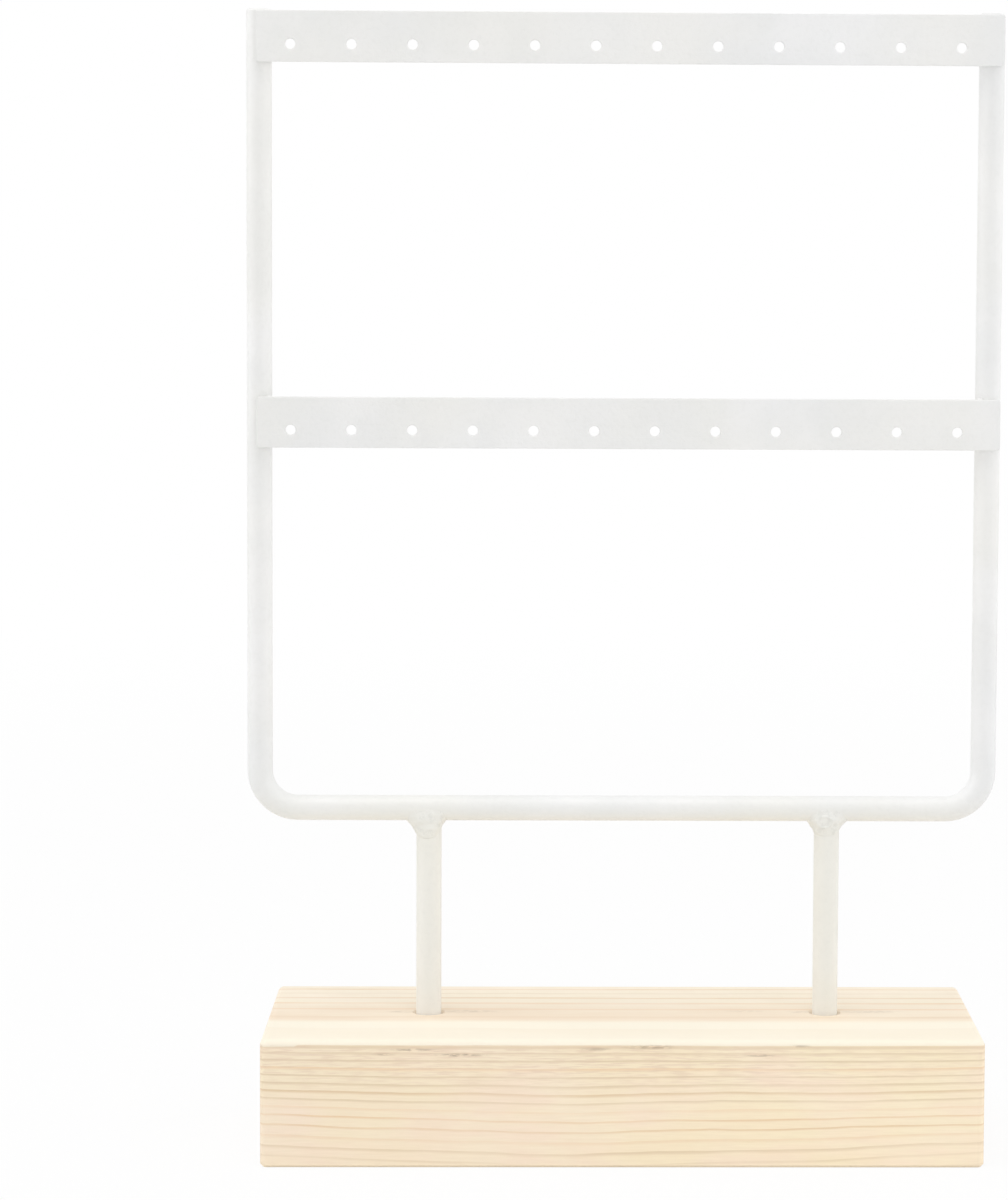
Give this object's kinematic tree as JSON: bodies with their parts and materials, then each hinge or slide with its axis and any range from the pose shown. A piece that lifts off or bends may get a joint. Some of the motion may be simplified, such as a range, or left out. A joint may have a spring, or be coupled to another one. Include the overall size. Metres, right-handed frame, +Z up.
{
  "type": "earring display stand",
  "caption": "Tabletop earring stand: a pale wooden block carries a white U-shaped rod frame on short posts, with drilled flat bars across it for earring studs.",
  "frame": {"origin": "middle of the block's underside, on the surface that the stand rests on", "axes": "+X along the bars to the right, -Y towards the viewer, +Z up"},
  "size_m": [0.1484, 0.05, 0.2234],
  "materials": {
    "pale_wood": "sanded pale softwood, no visible varnish",
    "powder_coated_steel": "white powder coat, satin"
  },
  "bodies": {
    "root": {"wood_base": "pale_wood", "frame_rod": "powder_coated_steel", "post_left": "powder_coated_steel", "post_right": "powder_coated_steel", "post_weld_left": "powder_coated_steel", "post_weld_right": "powder_coated_steel", "top_bar": "powder_coated_steel", "middle_bar": "powder_coated_steel", "top_bar_weld_left": "powder_coated_steel", "top_bar_weld_right": "powder_coated_steel", "middle_bar_weld_left": "powder_coated_steel", "middle_bar_weld_right": "powder_coated_steel"}
  },
  "joints": []
}
